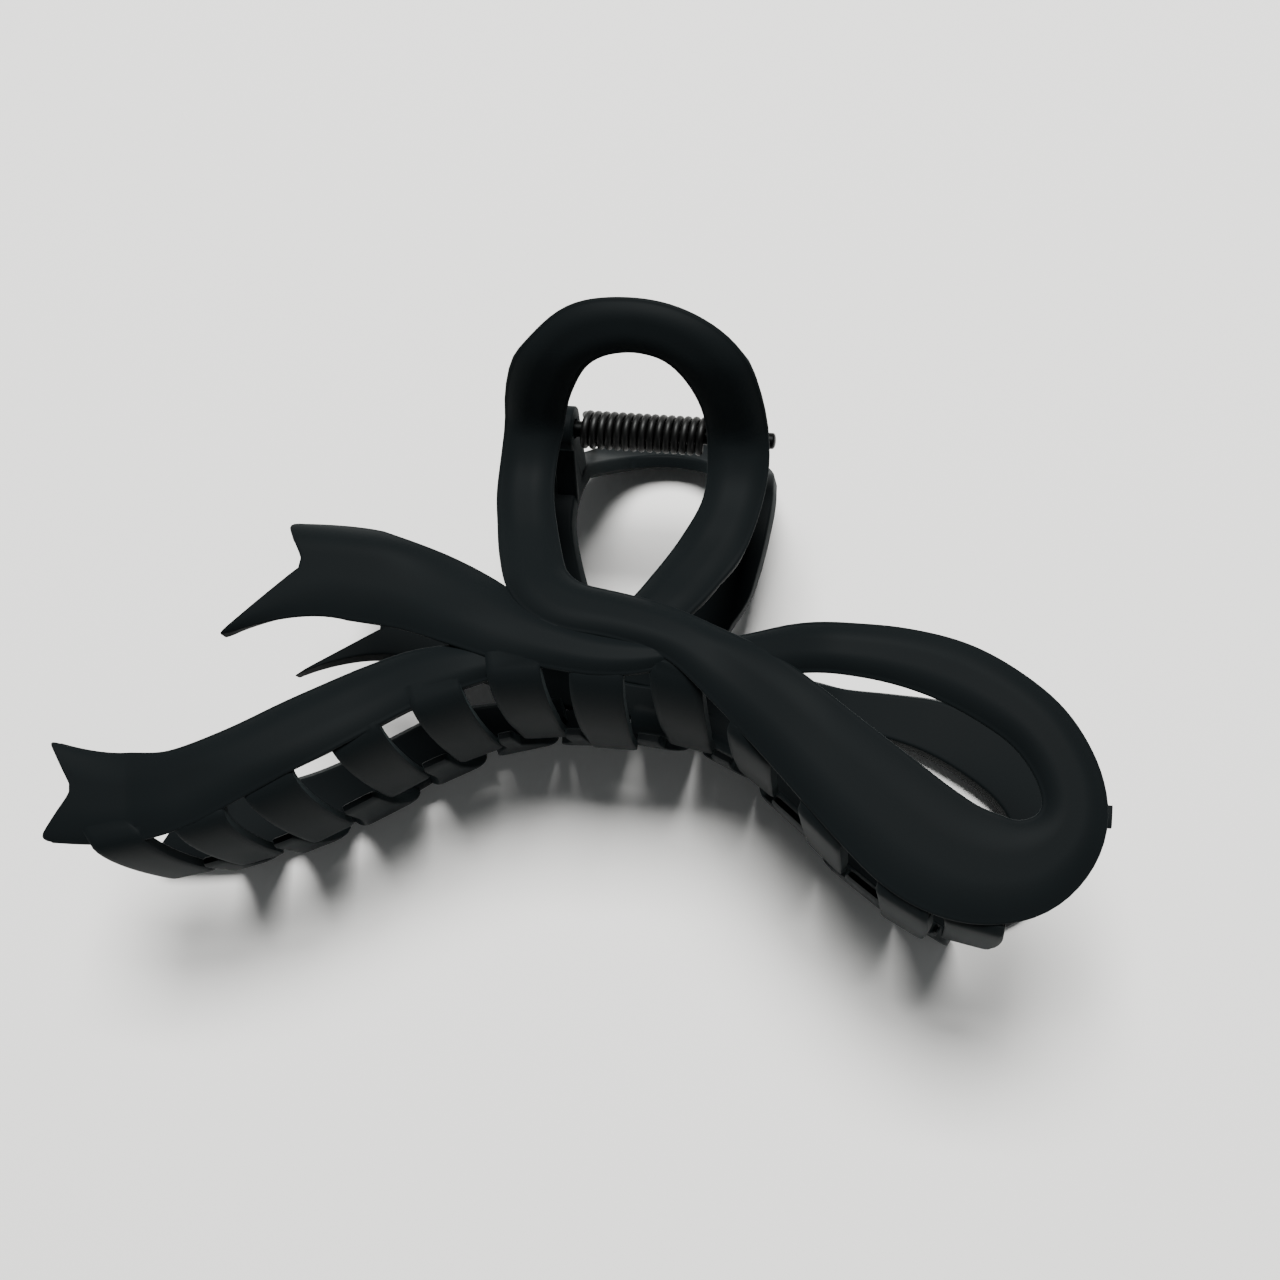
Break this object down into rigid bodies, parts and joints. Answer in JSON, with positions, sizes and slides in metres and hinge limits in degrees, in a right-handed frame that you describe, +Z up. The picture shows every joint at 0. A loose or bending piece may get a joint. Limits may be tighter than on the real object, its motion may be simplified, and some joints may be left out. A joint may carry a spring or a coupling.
{
  "type": "claw clip",
  "caption": "Bow-shaped hair claw clip with mirrored looped-ribbon jaws, interlocking curved teeth, open thumb-loop handles, a hinge pin and a closing torsion spring.",
  "frame": {"origin": "centre of the closed clip's bounding box, on the surface that it lies on", "axes": "+X along the clip from the tails to the bow loop, +Y from the teeth to the handles, +Z up from the rear jaw, which the clip lies on, to the front jaw"},
  "size_m": [0.1122, 0.0672, 0.0446],
  "materials": {
    "front_jaw_plastic": "near-black soft-touch plastic with a cool cast and a soft sheen",
    "rear_jaw_plastic": "near-black soft-touch plastic with a cool cast and a soft sheen",
    "pin_steel": "dark blackened steel with a slightly domed end",
    "spring_steel": "dark drawn spring wire"
  },
  "bodies": {
    "rear": {"rear_jaw": "rear_jaw_plastic", "hinge_pin": "pin_steel", "torsion_spring": "spring_steel"},
    "front": {"front_jaw": "front_jaw_plastic"}
  },
  "joints": [
    {"name": "jaw_hinge", "type": "hinge", "parent": "rear", "child": "front", "pos_m": [0.00314, 0.0243, 0.02171], "axis": [-1, 0, 0], "range_deg": [0, 100], "stiffness_Nm_per_rad": 0.12, "springref_deg": -40.11, "deforming": ["torsion_spring"]}
  ]
}
